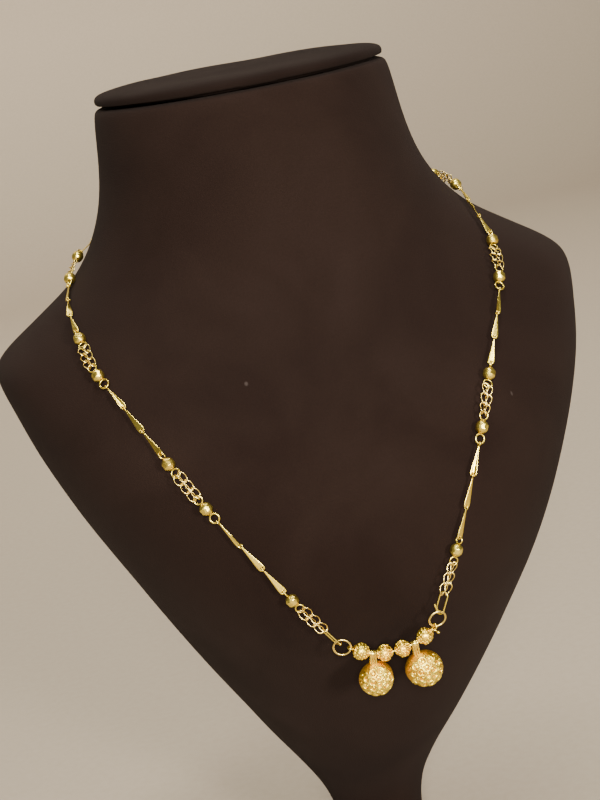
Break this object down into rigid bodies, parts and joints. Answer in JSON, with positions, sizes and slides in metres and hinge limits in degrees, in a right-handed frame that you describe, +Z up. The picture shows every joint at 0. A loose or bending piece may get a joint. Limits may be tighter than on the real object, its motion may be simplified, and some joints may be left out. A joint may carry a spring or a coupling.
{
  "type": "mangalsutra on a neck bust",
  "caption": "Mangalsutra: a long gold chain of doubled oval links, tapered bars and beads, with domed cup pendants on a curved wire, worn on a dark velvet neck bust with a round foot",
  "frame": {"origin": "the middle of the flat underside of the round foot", "axes": "+Z up along the bust, -Y the way the chest and the pendants face, +X to the viewer's right seen from the front"},
  "size_m": [0.1816, 0.133, 0.2781],
  "materials": {
    "velvet": "short dark brown velvet pile, matt with a soft sheen",
    "chain_gold": "polished yellow gold",
    "granulated_gold": "granulated and worn orange gold with polished high spots"
  },
  "bodies": {
    "root": {"neck_bust": "velvet", "neck_cap": "velvet", "stand_foot": "velvet", "pendant_wire": "chain_gold", "filigree_bead_1": "granulated_gold", "filigree_bead_2": "granulated_gold", "filigree_bead_3": "granulated_gold", "filigree_bead_4": "granulated_gold", "vati_1": "granulated_gold", "vati_2": "granulated_gold", "jump_ring_left": "chain_gold", "jump_ring_right": "chain_gold", "connector_left": "chain_gold", "connector_right": "chain_gold", "clasp_hook": "chain_gold", "eye_pins_left": "chain_gold", "eye_pins_right": "chain_gold", "bead_left_1": "chain_gold", "bead_left_2": "chain_gold", "bead_left_3": "chain_gold", "bead_left_4": "chain_gold", "bead_left_5": "chain_gold", "bead_left_6": "chain_gold", "bead_left_7": "chain_gold", "bead_left_8": "chain_gold", "bead_right_1": "chain_gold", "bead_right_2": "chain_gold", "bead_right_3": "chain_gold", "bead_right_4": "chain_gold", "bead_right_5": "chain_gold", "bead_right_6": "chain_gold", "bead_right_7": "chain_gold", "bead_right_8": "chain_gold", "bars_left_1": "chain_gold", "bars_left_2": "chain_gold", "bars_left_3": "chain_gold", "bars_left_4": "chain_gold", "bars_right_1": "chain_gold", "bars_right_2": "chain_gold", "bars_right_3": "chain_gold", "bars_right_4": "chain_gold", "links_left_1": "chain_gold", "links_left_2": "chain_gold", "links_left_3": "chain_gold", "links_left_4": "chain_gold", "links_left_5": "chain_gold", "links_right_1": "chain_gold", "links_right_2": "chain_gold", "links_right_3": "chain_gold", "links_right_4": "chain_gold", "links_right_5": "chain_gold"}
  },
  "joints": []
}
